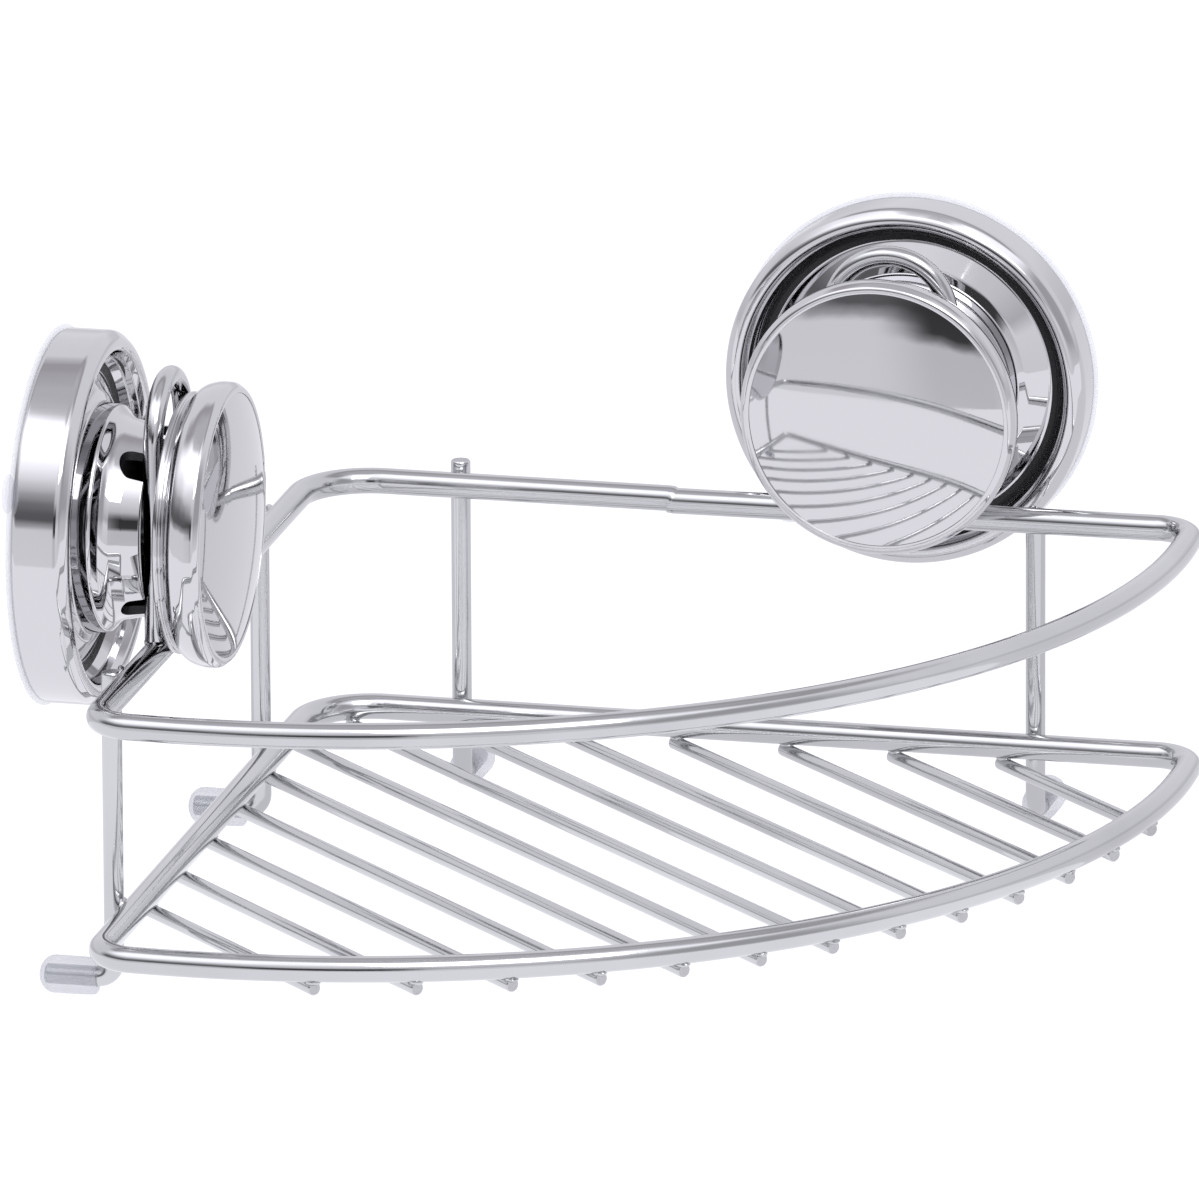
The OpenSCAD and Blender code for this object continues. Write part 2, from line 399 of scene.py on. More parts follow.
def chrome_plate_material():
    """Plated plastic: mirror bright, with the slight waviness of a moulding and a few worn patches."""
    material, tree, shader = principled("chrome_plate", (0.63, 0.627, 0.64), 0.04, 1.0)
    wear = noise_texture(tree, 60, 5.0, rough=0.65)
    vary(tree, shader, "Roughness", wear, [(0.4, 0.025), (0.66, 0.06), (0.85, 0.14)])
    waves = bump(tree, shader, noise_texture(tree, 45, 1.0), 0.12, 0.0002)
    bump(tree, shader, noise_texture(tree, 1500, 2.0), 0.03, 0.00002, below=waves)
    return material


def cut_steel_material():
    """A sheared wire end: duller, with the grain of the cut under the plating."""
    material, tree, shader = principled("cut_steel", (0.50, 0.50, 0.51), 0.3, 1.0)
    grain = noise_texture(tree, 1800, 4.0)
    vary(tree, shader, "Roughness", grain, [(0.3, 0.22), (0.7, 0.45)])
    bump(tree, shader, grain, 0.5, 0.00015)
    return material


def clear_vinyl_material():
    """Soft clear vinyl: a glossy pale veil that lets what lies behind show through."""
    material, tree, shader = principled("clear_vinyl", (0.76, 0.78, 0.83), 0.16, IOR=1.5)
    haze = noise_texture(tree, 140, 3.0)
    vary(tree, shader, "Roughness", haze, [(0.35, 0.10), (0.75, 0.26)])
    cloud = noise_texture(tree, 60, 2.0)
    vary(tree, shader, "Alpha", cloud, [(0.3, 0.26), (0.7, 0.3)])
    bump(tree, shader, noise_texture(tree, 120, 2.0), 0.04, 0.0001)
    return material


def sleeve_vinyl_material():
    """Thick clear vinyl, a little milky: its rounded edges look denser than its middle."""
    material, tree, shader = principled("sleeve_vinyl", (0.60, 0.615, 0.655), 0.14, IOR=1.5)
    haze = noise_texture(tree, 90, 2.0)
    vary(tree, shader, "Roughness", haze, [(0.35, 0.08), (0.75, 0.2)])
    depth = add(tree, "ShaderNodeLayerWeight")
    depth.inputs["Blend"].default_value = 0.35
    vary(tree, shader, "Alpha", depth.outputs["Facing"], [(0.0, 0.34), (0.5, 0.44), (1.0, 0.85)])
    bump(tree, shader, noise_texture(tree, 120, 2.0), 0.04, 0.0001)
    return material


def black_and_shade_material():
    """Moulded black plastic with a fine satin grain; on the covers it also makes the painted shade in
    the groove.
    """
    material, tree, shader = principled("black_plastic", (0.012, 0.012, 0.014), 0.42)
    grain = noise_texture(tree, 2400, 3.0)
    vary(tree, shader, "Roughness", grain, [(0.3, 0.34), (0.7, 0.52)])
    bump(tree, shader, grain, 0.25, 0.00005)
    return material


def zinc_material():
    """Zinc-plated steel with a soft spangle."""
    material, tree, shader = principled("zinc_steel", (0.56, 0.57, 0.6), 0.35, 1.0)
    spangle = noise_texture(tree, 700, 4.0)
    vary(tree, shader, "Roughness", spangle, [(0.3, 0.26), (0.7, 0.46)])
    bump(tree, shader, spangle, 0.2, 0.00005)
    return material


def brass_material():
    """Turned brass with slightly uneven wear."""
    material, tree, shader = principled("brass", (0.72, 0.50, 0.20), 0.28, 1.0)
    wear = noise_texture(tree, 500, 3.0)
    vary(tree, shader, "Roughness", wear, [(0.3, 0.2), (0.7, 0.4)])
    bump(tree, shader, wear, 0.2, 0.00004)
    return material


CHROME_WIRE = chrome_wire_material()
CHROME_PLATE = chrome_plate_material()
CUT_STEEL = cut_steel_material()
CLEAR_VINYL = clear_vinyl_material()
SLEEVE_VINYL = sleeve_vinyl_material()
# Black plastic for the inner pieces, and the painted shade on the covers' groove floors
BLACK_AND_PAINTED_SHADE = black_and_shade_material()
ZINC = zinc_material()
BRASS = brass_material()

# ---- the wire basket -------------------------------------------------------------------------


def rim_plan():
    """The rim's centre line on the plan, from the back corner round the right side first."""
    inset = SIDE_LEN / 2 - math.sqrt(FRONT_R ** 2 - SIDE_LEN ** 2 / 2) / math.sqrt(2)
    out = inset + math.sqrt((FRONT_R - FRONT_BEND) ** 2 - (FRONT_BEND - inset) ** 2)
    lean = math.degrees(math.atan2(inset - FRONT_BEND, out - inset))
    corner = Vector((WALL_GAP, -WALL_GAP, 0))
    loop = arc((BACK_BEND, -BACK_BEND), BACK_BEND, 180, 90, 5)
    loop += line(Vector((BACK_BEND, 0, 0)), Vector((out, 0, 0)), 40)[1:-1]
    loop += arc((out, -FRONT_BEND), FRONT_BEND, 90, lean, 5)
    loop += arc((inset, -inset), FRONT_R, lean, -90 - lean, 0.8)[1:-1]
    loop += arc((FRONT_BEND, -out), FRONT_BEND, 270 - lean, 180, 5)
    loop += line(Vector((0, -out, 0)), Vector((0, -BACK_BEND, 0)), 40)[1:-1]
    return [corner + point for point in loop], corner, inset


# The top rim's butt weld: (place along the wire in mm, share of the step down, swelling)
SEAM = ((-0.7, 0, 1.0), (-0.3, 0, 1.02), (0, 0.5, 1.03), (0.3, 1, 1.02), (0.7, 1, 1.0))


def rim_with_seam(loop, corner):
    """Points and radii of the top rim, with a small step down at the butt weld and a slight bead."""
    points = []
    radii = []
    for point in loop:
        on_right = abs(point.y - corner.y) < 1e-6
        past = point.x - corner.x - SEAM_AT
        if on_right and past > 0:
            fade = max(0.0, 1 - past / (SIDE_LEN - SEAM_AT))
            point = point + Vector((0, 0, -SEAM_STEP * fade))
        if on_right and points and points[-1].x - corner.x <= SEAM_AT < point.x - corner.x:
            for shift, drop, swell in SEAM:
                points.append(Vector((corner.x + SEAM_AT + shift * MM, corner.y, -SEAM_STEP * drop)))
                radii.append(RIM_R * swell)
        points.append(point)
        radii.append(RIM_R)
    return points, radii


RIM_LOOP, CORNER, ARC_INSET = rim_plan()


def make_rims():
    """The two rims, each one closed loop of wire; only the top one shows its seam."""
    points, radii = rim_with_seam(RIM_LOOP, CORNER)
    top = tube_mesh("rim_top_wire", [p + TOP_Z * UP for p in points], radii, 40, closed=True)
    obj = new_object("rim_top_wire", top, "basket", "chrome_wire", CHROME_WIRE)
    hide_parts("top_rim")
    bottom = tube_mesh("rim_bottom_wire", RIM_LOOP, [RIM_R] * len(RIM_LOOP), 40, closed=True)
    obj = new_object("rim_bottom_wire", bottom, "basket", "chrome_wire", CHROME_WIRE)
    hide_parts("bottom_rim")


def make_cut_wire(node, points, radius, bevel, sides):
    """A straight or bent wire whose flat cut ends show the steel."""
    path, radii = cut_wire(points, radius, bevel)
    mesh = tube_mesh(node + "_wire", path, radii, sides)
    obj = new_object(node + "_wire", mesh, "basket", "chrome_wire", CHROME_WIRE, CUT_STEEL)
    for face in mesh.polygons:
        is_end = len(face.vertices) == sides
        face.material_index = 1 if is_end else 0
    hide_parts(node)


def make_floor_wires():
    """Straight wires, each with a sway of up to about a tenth of a millimetre."""
    sway_size = 0.12 * MM
    for index in range(1, FLOOR_WIRES + 1):
        node = f"floor_wire_{index}"
        low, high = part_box(node)
        inner = FLOOR_WIRE_R / math.sqrt(2)
        start = Vector((low[0] + inner, high[1] - inner, (low[2] + high[2]) / 2))
        end = Vector((high[0] - inner, low[1] + inner, (low[2] + high[2]) / 2))
        length = (end - start).length
        steps = 24
        points = []
        for i in range(steps + 1):
            sway = sway_size * math.sin(math.pi * i / steps) * math.sin(index * 2.3)
            points.append(start + DOWN_THE_MIDDLE * length * i / steps + ACROSS * sway)
        make_cut_wire(node, points, FLOOR_WIRE_R, 0.22 * MM, 24)


def upright_points(side, node):
    """The centre line of an upright: down the wall side, round the foot and out to the wall."""
    low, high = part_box(node)
    foot_end, front = out_of_wall(side, node)
    gap = front - UPRIGHT_R
    foot_z = low[2] + UPRIGHT_R
    bend_z = foot_z + FOOT_BEND
    heel = gap - FOOT_BEND
    points = line(Vector((0, high[2], gap)), Vector((0, bend_z, gap)), 26)[:-1]
    for i in range(13):
        a = math.radians(90 * i / 12)
        points.append(Vector((0, bend_z - FOOT_BEND * math.sin(a), heel + FOOT_BEND * math.cos(a))))
    points += line(Vector((0, foot_z, heel)), Vector((0, foot_z, foot_end)), 6)[1:]
    matrix = wall_matrix(side, along_wall(side, node), 0)
    return [matrix @ point for point in points]


def make_uprights():
    """Four wires behind the rims, with their feet turned to the wall."""
    for side in SIDES:
        for place in UPRIGHTS:
            node = f"{side}_upright_{place}"
            make_cut_wire(node, upright_points(side, node), UPRIGHT_R, 0.3 * MM, 32)


def make_hanger_loops():
    """Tall arches whose feet are sunk a little into the top rim."""
    foot_z = TOP_Z + RIM_R * 0.55
    for side in SIDES:
        node = f"{side}_hanger_loop"
        half = loop_half_width(side)
        bend_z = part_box(node)[1][2] - LOOP_R - half
        points = line(Vector((half, foot_z, WALL_GAP)), Vector((half, bend_z, WALL_GAP)), 16)[:-1]
        for i in range(37):
            a = math.radians(180 * i / 36)
            points.append(Vector((half * math.cos(a), bend_z + half * math.sin(a), WALL_GAP)))
        points += line(Vector((-half, bend_z, WALL_GAP)), Vector((-half, foot_z, WALL_GAP)), 16)[1:]
        matrix = wall_matrix(side, along_wall(side, node), 0)
        points = [matrix @ point for point in points]
        mesh = tube_mesh(node + "_wire", points, [LOOP_R] * len(points), 36)
        obj = new_object(node + "_wire", mesh, "basket", "chrome_wire", CHROME_WIRE)
        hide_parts(node)


def make_bumpers():
    """Clear sleeves with a round nose, pushed over the uprights' feet up to the bend."""
    nose_len = 3.4
    play = 0.04
    for side in SIDES:
        for place in UPRIGHTS:
            node = f"{side}_bumper_{place}"
            outer = box_size(node)[2] / 2 / MM
            tip, mouth = [reach / MM for reach in out_of_wall(side, node)]
            bore = UPRIGHT_R / MM + play
            blind = out_of_wall(side, f"{side}_upright_{place}")[0] / MM - 0.1
            profile = []
            for degrees in range(0, 90, 9):
                a = math.radians(degrees)
                profile.append((outer * math.sin(a), tip + nose_len * (1 - math.cos(a))))
            profile += rounded([
                (outer, tip + nose_len, 0), (outer, tip + 6, 0), (outer * 0.985, mouth - 2, 3),
                (outer * 0.95, mouth, 0.7), (bore, mouth, 0.3), (bore, blind, 0.5), (0, blind, 0)])
            matrix = wall_matrix(side, along_wall(side, node), box_middle(node).z)
            mesh = lathe_mesh(node + "_sleeve", profile, matrix, 96, wobble=0.02)
            obj = new_object(node + "_sleeve", mesh, "basket", "clear_vinyl", SLEEVE_VINYL)
            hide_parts(node)


def weld(bm, place, axes, sizes, seed):
    """A small squashed nugget of metal at a weld, a little uneven. Its sizes are half widths in mm."""
    turn = Matrix(axes).transposed()
    made = bmesh.ops.create_icosphere(bm, subdivisions=3, radius=1.0)
    for vert in made["verts"]:
        p = vert.co
        lump = 1 + 0.16 * noise.noise(p * 1.7 + Vector((seed * 7.3, seed * 1.9, 0)))
        vert.co = place + turn @ Vector([p[i] * sizes[i] * MM * lump for i in range(3)])


def make_welds():
    """The nuggets where the uprights, the loops and the floor wires meet the rims."""
    bm = bmesh.new()
    seed = 0
    for side in SIDES:
        turn = wall_matrix(side, 0, 0).to_3x3()
        along_axis = turn @ Vector((1, 0, 0))
        out_axis = turn @ Vector((0, 0, 1))
        for place in UPRIGHTS:
            along = along_wall(side, f"{side}_upright_{place}")
            for z in (0, TOP_Z):
                seed += 1
                spot = wall_matrix(side, along, z) @ Vector((0, 0, WALL_GAP - RIM_R))
                weld(bm, spot, (along_axis, UP, out_axis), (2.5, 2.3, 1.15), seed)
        middle = box_middle(f"{side}_hanger_loop")
        for leg in (-1, 1):
            seed += 1
            spot = Vector((middle.x, middle.y, TOP_Z + RIM_R * 0.9))
            spot += along_axis * leg * loop_half_width(side)
            weld(bm, spot, (along_axis, UP, out_axis), (3.0, 0.95, 2.35), seed)
    for index in range(1, FLOOR_WIRES + 1):
        low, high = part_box(f"floor_wire_{index}")
        offset = (low[0] + high[0] + low[1] + high[1]) / 2 / math.sqrt(2)
        top = Vector((0, 0, high[2] - 0.05 * MM))
        inner = abs(offset)
        if inner < BACK_BEND / math.sqrt(2):
            inner = BACK_BEND * math.sqrt(2) - math.sqrt(BACK_BEND ** 2 - offset ** 2)
        outer = ARC_INSET * math.sqrt(2) + math.sqrt(FRONT_R ** 2 - offset ** 2)
        for reach in (inner, outer):
            seed += 1
            spot = CORNER + DOWN_THE_MIDDLE * reach + ACROSS * offset + top
            weld(bm, spot, (DOWN_THE_MIDDLE, ACROSS, UP), (1.9, 1.5, 0.8), seed)
    mesh = finished_mesh("weld_nuggets", bm)
    new_object("weld_nuggets", mesh, "basket", "chrome_wire", CHROME_WIRE)


# ---- the suction cups --------------------------------------------------------------------------

# Sizes of a cup in millimetres, with radii from its axis and heights from the wall
COVER_R = 41.0
SKIRT_INNER_R = 39.0
COLLAR_INNER_R = 20.4
COLLAR_MOUTH = 24.5
NOTCH_W = 5.5
NOTCH_DEEP = 6.0
NOTCH_ZONE_R = 18.4
NOTCH_ZONE_T = COLLAR_MOUTH - NOTCH_DEEP - 1.1
# The groove's floor between these radii and heights is painted black: a painted shade for the dark deep
# in the groove
GROOVE_SHADE_R = (32.6, 35.0)
GROOVE_SHADE_T = (6.3, 7.5)
KNOB_BACK = 29.2
KNOB_FACE = 40.8
HUB_END = 25.0
HUB_FLOOR = 38.2
CAP_R = 28.85
CAP_BACK = KNOB_FACE - 1.6
CAP_EDGE = KNOB_FACE - 0.7
TAB_AT = 43.0
SHANK_R = 4.1
THREAD_R = 4.95
THREAD_PITCH = 2.5
THREAD_START = 13.5

# The curve of the cap's face, and where each pad's pull tab points
DOME_SLOPE = 0.006
DOME_CURL = 4.5e-6
TAB_DEGREES = {"left": 158.5, "right": 228}


def cup_matrix(side):
    """The frame of a cup: its axis is z and the wall's face is z = 0."""
    node = f"{side}_base_cover"
    return wall_matrix(side, along_wall(side, node), box_middle(node).z)


def notch_cutter(matrix, offset):
    """A round-ended bar across the whole collar, which cuts two opposite notches."""
    half = NOTCH_W / 2
    above = 3.0
    outline = [(half, above)]
    for i in range(17):
        a = math.radians(180 * i / 16)
        outline.append((half * math.cos(a), half - NOTCH_DEEP - half * math.sin(a)))
    outline.append((-half, above))
    bm = bmesh.new()
    rows = []
    for y in (-COVER_R, COVER_R):
        row = [Vector((offset + x, y, COLLAR_MOUTH + t)) * MM for x, t in outline]
        rows.append([bm.verts.new(point) for point in row])
    bridge(bm, *rows)
    cap_ends(bm, rows)
    return finished_mesh("notch", bm, matrix)


def paint_cover(mesh, matrix, leg):
    """Black inside and on the notches' cut faces, and a narrow black band on the groove's floor that is
    painted shade.

    The cutters run along y, so the faces that they leave have no y in their normals.
    """
    inverse = matrix.inverted()
    for face in mesh.polygons:
        spot = inverse @ face.center / MM
        radius = math.hypot(spot.x, spot.y)
        way_out = inverse.to_3x3() @ face.normal
        radial = (way_out.x * spot.x + way_out.y * spot.y) / max(radius, 1e-6)
        in_bore = radius < COLLAR_INNER_R and radial < -0.2
        in_skirt = radius > SKIRT_INNER_R and radial < -0.9
        faces_wall = way_out.z < -0.1 and spot.z > 3
        is_cut = radius > NOTCH_ZONE_R and spot.z > NOTCH_ZONE_T and abs(way_out.y) < 0.05
        in_notch = is_cut and abs(abs(spot.x) - leg) < NOTCH_W / 2 + 0.05
        # Painted shade: the groove's floor is painted black where the deep groove lies in shade
        at_floor = GROOVE_SHADE_R[0] < radius < GROOVE_SHADE_R[1] and GROOVE_SHADE_T[0] < spot.z < GROOVE_SHADE_T[1]
        in_painted_groove_shade = at_floor and way_out.z > 0
        is_black = in_bore or in_skirt or faces_wall or in_notch or in_painted_groove_shade
        face.material_index = 1 if is_black else 0


def make_base_cover(side):
    """Skirt, rolled edge, groove, sloping bell and a collar with four notches."""
    skin = rounded([
        (39.6, 0.9, 0), (40.7, 0.9, 0.3), (COVER_R, 1.8, 1.5), (COVER_R, 11.2, 2.4),
        (38.9, 13.4, 2.6), (36.8, 13.4, 1.5), (35.9, 11.2, 1.8), (35.6, 9.4, 2.0),
        (34.3, 6.8, 1.1), (32.2, 6.9, 1.6), (27.4, 9.3, 5.0), (25.2, 9.9, 0.7), (24.9, 14.2, 1.2),
        (22.4, 16.4, 5.0), (21.3, 20.5, 6.0), (20.8, COLLAR_MOUTH, 0.35), (19.3, COLLAR_MOUTH, 0.3)], 12)
    lining = rounded([
        (19.3, COLLAR_MOUTH - 0.1, 0), (19.6, 20.5, 2.0), (21.2, 15.8, 3.0), (23.2, 13.6, 1.0),
        (23.4, 8.9, 0.8), (26.4, 7.8, 1.0), (31.6, 5.5, 1.0), (33.8, 5.4, 0.8), (36.6, 9.6, 0.8),
        (37.6, 11.8, 0.5), (39.0, 11.0, 0.6), (39.4, 9.8, 0.5), (39.4, 1.0, 0)])
    matrix = cup_matrix(side)
    mesh = lathe_mesh(f"{side}_cover_shell", skin + lining, matrix, 192)
    obj = new_object(f"{side}_cover_shell", mesh, f"{side}_cup", "chrome_plate", CHROME_PLATE, BLACK_AND_PAINTED_SHADE)
    leg = loop_half_width(side) / MM
    carve(obj, [notch_cutter(matrix, way * leg) for way in (-1, 1)])
    shade(obj.data, 35)
    # The inside goes black, and the groove's floor goes black as painted shade
    paint_cover(obj.data, matrix, leg)
    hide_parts(f"{side}_base_cover")


def make_knob(side):
    """The spool-shaped knob with its hub, without the disc that closes it."""
    matrix = cup_matrix(side)
    body = rounded([
        (28.9, CAP_BACK, 0), (28.9, KNOB_FACE - 0.52, 0.1), (30.1, KNOB_FACE - 0.5, 1.3),
        (31.2, KNOB_FACE - 2.0, 1.6), (31.3, KNOB_FACE - 4.4, 6.0), (30.6, KNOB_FACE - 7.4, 8.0),
        (28.4, KNOB_BACK + 2.1, 0.9), (28.1, KNOB_BACK + 1.6, 0.3), (28.7, KNOB_BACK + 1.2, 0.4),
        (28.6, KNOB_BACK + 0.1, 0.6), (27.2, KNOB_BACK, 0.3), (9.7, KNOB_BACK, 0.4),
        (9.7, HUB_END, 0.5), (5.5, HUB_END, 0), (5.5, HUB_FLOOR, 0), (9.7, HUB_FLOOR, 0.3),
        (9.7, KNOB_BACK + 2, 0.5), (26.4, KNOB_BACK + 2, 0.5), (27, KNOB_BACK + 4, 1),
        (27, CAP_BACK, 0)])
    mesh = lathe_mesh(f"{side}_knob_shell", body, matrix, 192)
    obj = new_object(f"{side}_knob_shell", mesh, f"{side}_knob_body", "chrome_plate", CHROME_PLATE)
    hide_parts(f"{side}_knob")


def dome_fall(r):
    """How far the cap's domed face lies below its middle, at a radius."""
    return DOME_SLOPE * r ** 2 / 2 + DOME_CURL * r ** 4 / 4


def make_knob_cap(side):
    """The mirror-bright domed disc that closes the knob."""
    matrix = cup_matrix(side)
    apex = CAP_EDGE + dome_fall(CAP_R)
    steps = 40
    profile = []
    for i in range(steps + 1):
        r = CAP_R * i / steps
        profile.append((r, apex - dome_fall(r)))
    profile += [(CAP_R, CAP_BACK), (0.0, CAP_BACK)]
    mesh = lathe_mesh(f"{side}_knob_mirror", profile, matrix, 192)
    obj = new_object(f"{side}_knob_mirror", mesh, f"{side}_knob_body", "chrome_plate", CHROME_PLATE)
    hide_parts(f"{side}_knob_cap")


def make_pad(side):
    """The soft pad: a dished disc with a round pull tab, stretched between cover and stud."""
    matrix = cup_matrix(side)
    profile = rounded([
        (0, 0.6, 0), (29, 0.6, 1), (32, 0.02, 1), (41.4, 0.0, 0.2), (41.8, 0.35, 0.25),
        (41.3, 0.7, 0.2), (39.2, 0.75, 0.3), (38.2, 2.3, 0.6), (34, 2.8, 1), (15, 2.8, 1.2),
        (14, 8.8, 1.0), (13, 9.8, 0.6), (5.5, 9.8, 0.3), (5.5, 8.6, 0), (11.3, 8.6, 0.3),
        (11.3, 3.0, 0.3), (0, 3.0, 0)])
    mesh = lathe_mesh(f"{side}_pad_skin", profile, matrix, 160)
    obj = new_object(f"{side}_pad_skin", mesh, f"{side}_cup", "clear_vinyl", CLEAR_VINYL)
    turn = Matrix.Rotation(math.radians(TAB_DEGREES[side]), 4, "Z")
    place = matrix @ turn @ Matrix.Translation(Vector((TAB_AT * MM, 0, 0)))
    tab = rounded([
        (0, 0.05, 0), (4.1, 0.05, 0.3), (4.4, 0.4, 0.25), (4.2, 0.8, 0.2), (3.0, 0.6, 0.6),
        (0, 0.55, 0)])
    tab_mesh = lathe_mesh(f"{side}_pad_tab", tab, place, 48)
    tab_obj = new_object(f"{side}_pad_tab", tab_mesh, f"{side}_cup", "clear_vinyl", CLEAR_VINYL)
    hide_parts(f"{side}_suction_pad")
    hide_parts(f"{side}_suction_pad")


def thread_mesh(name, stem_end, matrix):
    """A helical ridge round the shank that rises and fades out over half a turn at each end."""
    per_turn = 40
    fade_steps = per_turn / 2
    count = int((stem_end - THREAD_START - 1.0) / THREAD_PITCH * per_turn)
    section = ((SHANK_R, -1.0), (THREAD_R, -0.35), (THREAD_R, 0.35), (SHANK_R, 1.0))
    bm = bmesh.new()
    rows = []
    for i in range(count + 1):
        a = 2 * math.pi * i / per_turn
        t = THREAD_START + THREAD_PITCH * i / per_turn
        fade = min(1.0, i / fade_steps, (count - i) / fade_steps)
        row = []
        for r, rise in section:
            reach = SHANK_R + (r - SHANK_R) * fade
            point = Vector((reach * math.cos(a), reach * math.sin(a), t + rise)) * MM
            row.append(bm.verts.new(point))
        rows.append(row)
    for a, b in zip(rows, rows[1:]):
        bridge(bm, a, b)
    cap_ends(bm, rows)
    return finished_mesh(name, bm, matrix, 30)


def make_stud(side):
    """The threaded stud: a flat head in the pad and a shank with its thread."""
    matrix = cup_matrix(side)
    stem_end = out_of_wall(side, f"{side}_stud")[1] / MM
    core = rounded([
        (0, 3.2, 0), (10.6, 3.2, 0.3), (11, 3.6, 0.3), (11, 5.2, 0.3), (4.2, 5.4, 0.5),
        (4.2, stem_end - 0.6, 0), (3.6, stem_end, 0.2), (0, stem_end, 0)])
    mesh = lathe_mesh(f"{side}_stud_core", core, matrix, 96)
    obj = new_object(f"{side}_stud_core", mesh, f"{side}_stud_body", "zinc_steel", ZINC)
    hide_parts(f"{side}_stud")
    mesh = thread_mesh(f"{side}_stud_thread", stem_end, matrix)
    new_object(f"{side}_stud_thread", mesh, f"{side}_stud_body", "zinc_steel", ZINC)


def paint_cad_nodes():
    """The inner pieces keep their CAD shape and get a finished material."""
    inner_pieces = (("guide_plate", BLACK_AND_PAINTED_SHADE), ("clamp_washer", BLACK_AND_PAINTED_SHADE), ("thread_insert", BRASS))
    for side in SIDES:
        for part, material in inner_pieces:
            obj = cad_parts[f"{side}_{part}"]
            obj.data.materials.clear()
            obj.data.materials.append(material)


make_rims()
make_floor_wires()
make_uprights()
make_hanger_loops()
make_bumpers()
make_welds()
for cup_side in SIDES:
    make_base_cover(cup_side)
    make_knob(cup_side)
    make_knob_cap(cup_side)
    make_pad(cup_side)
    make_stud(cup_side)
paint_cad_nodes()

# ---- floor, light and camera ---------------------------------------------------------------------

# The light is a little cool; it tints the floor and the world alike
COOL = (0.985, 0.98, 1.04)
FLOOR_GLOW = 1.12
DIM_FLOOR_GLOW = 0.88


def plane(name, corners, color, strength, seen, mirrored):
    """A glowing sheet of the stage, for the camera, for reflections or for both."""
    mesh = bpy.data.meshes.new(name)
    mesh.from_pydata(corners, [], [(0, 1, 2, 3)])
    material = bpy.data.materials.new(name)
    material.use_nodes = True
    tree = material.node_tree
    tree.nodes.remove(tree.nodes["Principled BSDF"])
    glow = add(tree, "ShaderNodeEmission")
    glow.inputs["Color"].default_value = (*color, 1)
    glow.inputs["Strength"].default_value = strength
    tree.links.new(glow.outputs["Emission"], tree.nodes["Material Output"].inputs["Surface"])
    mesh.materials.append(material)
    obj = bpy.data.objects.new(name, mesh)
    bpy.context.scene.collection.objects.link(obj)
    obj.visible_camera = seen
    obj.visible_transmission = seen
    obj.visible_glossy = mirrored


def make_floor():
    """A plain pale floor just below the caddy.

    The camera sees one even floor. The chrome sees it end like a table at its front edge and go
    dimmer behind the middle line.
    """
    z = cad_bounds[0][2] - 2 * MM
    far = 4.0
    front = -0.54
    middle = -0.08

    def strip(name, near, away, height, strength, seen, mirrored):
        corners = [(-far, near, height), (far, near, height), (far, away, height), (-far, away, height)]
        plane(name, corners, COOL, strength, seen, mirrored)

    strip("floor", front, middle, z, FLOOR_GLOW, True, True)
    strip("floor_front", -far, front, z, FLOOR_GLOW, True, False)
    strip("floor_back", middle, far, z, FLOOR_GLOW, True, False)
    strip("floor_back_in_mirrors", middle, far, z - 1 * MM, DIM_FLOOR_GLOW, False, True)


# What the chrome sees in each direction: (elevation in degrees, brightness or colour)
CEILING = (0.66, 0.655, 0.66)
DIM_WALL = (0.50, 0.49, 0.49)
OVERHEAD = [(74, 0.95), (80, CEILING), (90, CEILING)]
FRONT_LEFT = [
    (-90, 1.0), (-9, 0.92), (6, 0.9), (8, 0.5), (12, 0.14), (16, 0.15), (21, 0.24), (28, 0.52),
    (35, 1.04), (42, 1.4), (50, 1.8), (69, 1.8)] + OVERHEAD
FRONT_RIGHT = [
    (-90, 1.0), (-9, 0.74), (1, 0.72), (3, 0.25), (5, 0.06), (14, 0.05), (18, 0.3), (23, 0.72),
    (30, 0.9), (40, 1.1), (50, 1.6), (70, 1.7)] + OVERHEAD
FAR_RIGHT = [
    (-90, 1.0), (-9, 0.9), (6, 0.95), (12, 0.62), (22, 0.8), (34, 1.0), (50, 1.5), (70, 1.6)] + OVERHEAD
RIGHT_SIDE = [
    (-90, 1.0), (-8, 0.9), (2, 0.72), (8, 0.5), (34, 0.5), (43, 0.62), (50, 1.4), (64, 1.5),
    (71, 0.9), (75, CEILING), (90, CEILING)]
BEHIND = [
    (-90, 0.95), (-3, 0.95), (1, 0.72), (8, 0.8), (14, 0.93), (48, 0.93), (55, DIM_WALL),
    (60, DIM_WALL), (74, CEILING), (90, CEILING)]


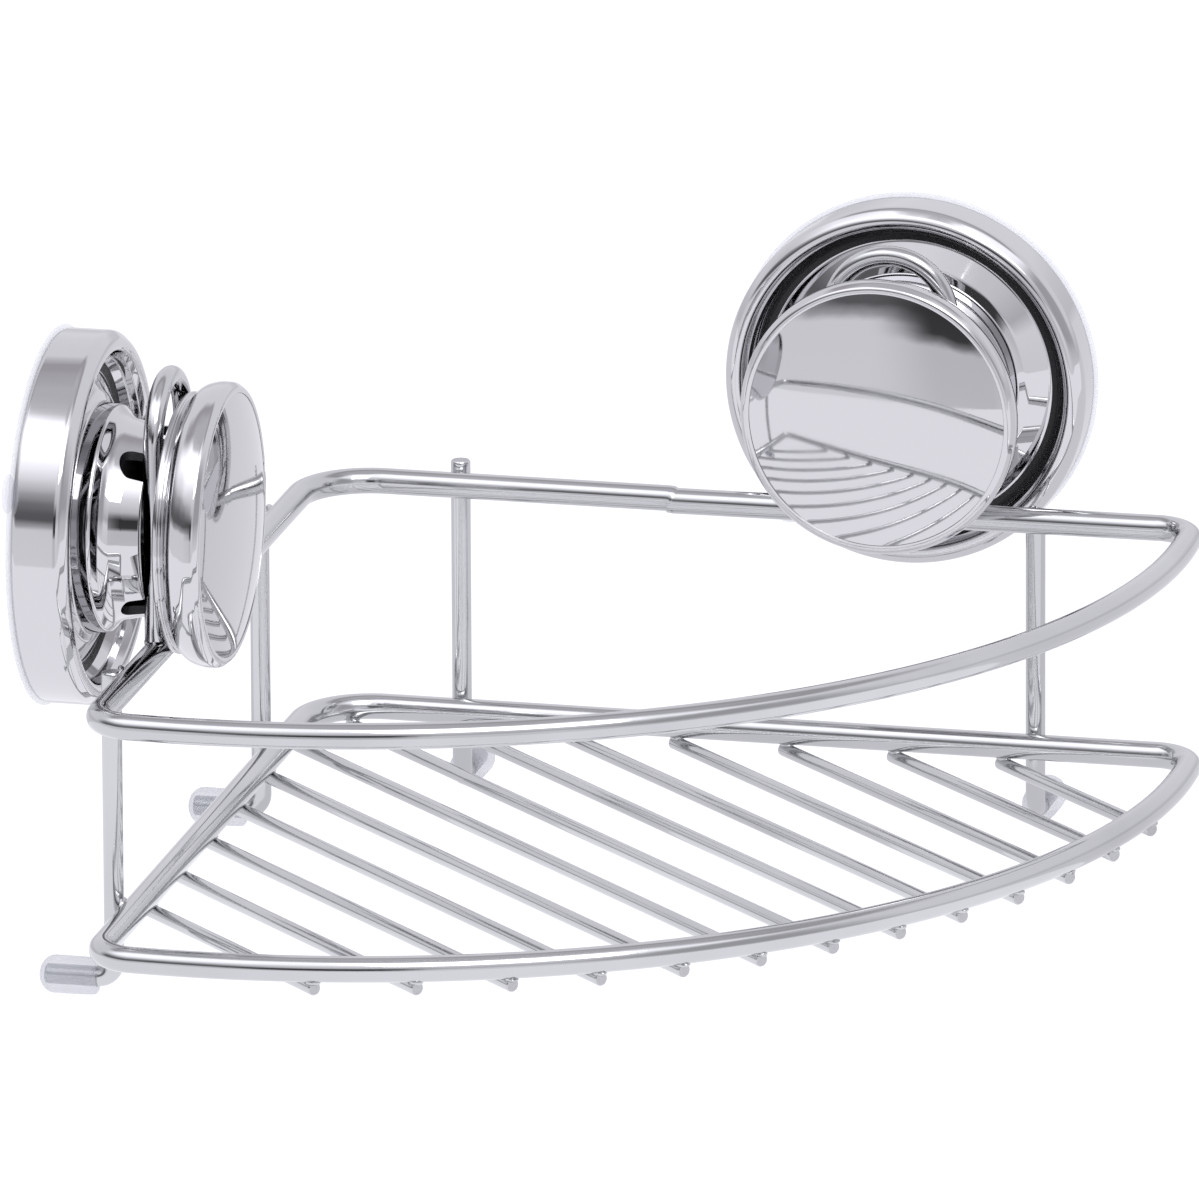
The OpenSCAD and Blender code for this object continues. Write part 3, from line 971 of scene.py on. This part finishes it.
def make_world():
    """A studio as the chrome sees it: soft light high in the room, dark bands low down in front."""
    world = bpy.data.worlds.new("studio")
    bpy.context.scene.world = world
    world.use_nodes = True
    tree = world.node_tree
    background = tree.nodes["Background"]
    coords = add(tree, "ShaderNodeTexCoord")
    split = add(tree, "ShaderNodeSeparateXYZ")
    tree.links.new(coords.outputs["Generated"], split.inputs["Vector"])
    clutter = add(tree, "ShaderNodeTexNoise")
    clutter.inputs["Scale"].default_value = 7
    clutter.inputs["Detail"].default_value = 2
    tree.links.new(coords.outputs["Generated"], clutter.inputs["Vector"])
    unevenness = 0.05
    uneven = add(tree, "ShaderNodeMath", operation="MULTIPLY_ADD")
    uneven.inputs[1].default_value = unevenness
    uneven.inputs[2].default_value = -unevenness / 2
    tree.links.new(clutter.outputs["Fac"], uneven.inputs[0])
    lifted = add(tree, "ShaderNodeMath", operation="ADD")
    tree.links.new(split.outputs["Z"], lifted.inputs[0])
    tree.links.new(uneven.outputs["Value"], lifted.inputs[1])

    def span(source, low, high, shape):
        """Maps the values between low and high to 0 to 1."""
        node = add(tree, "ShaderNodeMapRange", interpolation_type=shape)
        node.inputs["From Min"].default_value = low
        node.inputs["From Max"].default_value = high
        tree.links.new(source, node.inputs["Value"])
        return node.outputs["Result"]

    def tiers(stops):
        """A ramp over the elevation in degrees."""
        height = span(lifted.outputs["Value"], -1, 1, "LINEAR")
        return ramp(tree, height, [((math.sin(math.radians(angle)) + 1) / 2, value)
                                   for angle, value in stops])

    def blend(axis, low, high, first, second):
        """Goes over smoothly from the first colour to the second along an axis of the world."""
        node = add(tree, "ShaderNodeMix", data_type="RGBA")
        tree.links.new(span(split.outputs[axis], low, high, "SMOOTHSTEP"), node.inputs[0])
        tree.links.new(first, node.inputs[6])
        tree.links.new(second, node.inputs[7])
        return node.outputs[2]

    front = blend("X", -0.24, 0.02, tiers(FRONT_LEFT), tiers(FRONT_RIGHT))
    front = blend("X", 0.26, 0.36, front, tiers(FAR_RIGHT))
    front = blend("X", 0.60, 0.78, front, tiers(RIGHT_SIDE))
    whole = blend("Y", -0.30, 0.10, front, tiers(BEHIND))
    cool = add(tree, "ShaderNodeMix", data_type="RGBA", blend_type="MULTIPLY")
    cool.inputs[0].default_value = 1.0
    cool.inputs[7].default_value = (*COOL, 1)
    tree.links.new(whole, cool.inputs[6])
    tree.links.new(cool.outputs[2], background.inputs["Color"])
    background.inputs["Strength"].default_value = 1.0


def make_camera():
    """A long lens from the front right, a little above the rim."""
    azimuth = math.radians(13.45)
    elevation = math.radians(16.10)
    roll = math.radians(-0.27)
    distance = 5.369
    focus = Vector((0.106, -0.106, 0.030))
    slide_right = 0.0038
    slide_up = 0.0206
    level_back = Vector((math.sin(azimuth), -math.cos(azimuth), 0))
    back = math.cos(elevation) * level_back + math.sin(elevation) * UP
    right = Vector((math.cos(azimuth), math.sin(azimuth), 0))
    up = back.cross(right)
    turned_right = math.cos(roll) * right + math.sin(roll) * up
    turned_up = -math.sin(roll) * right + math.cos(roll) * up
    place = focus + back * distance + slide_right * turned_right + slide_up * turned_up
    data = bpy.data.cameras.new("camera")
    data.lens = 734.4
    data.sensor_width = 36
    data.clip_end = 100
    camera = bpy.data.objects.new("camera", data)
    rotation = Matrix((turned_right, turned_up, back)).transposed().to_4x4()
    camera.matrix_world = Matrix.Translation(place) @ rotation
    bpy.context.scene.collection.objects.link(camera)
    bpy.context.scene.camera = camera


def make_lights():
    """One soft key light high in front, for a little shape on the black and clear parts."""
    data = bpy.data.lights.new("key", "AREA")
    data.energy = 14
    data.size = 1.2
    light = bpy.data.objects.new("key", data)
    place = Vector((0.9, -1.4, 1.8))
    aim = Vector((0.1, -0.1, 0.05))
    light.location = place
    light.rotation_euler = (place - aim).to_track_quat("Z", "Y").to_euler()
    bpy.context.scene.collection.objects.link(light)


make_floor()
make_world()
make_lights()
make_camera()
bpy.context.scene.view_settings.view_transform = "Standard"
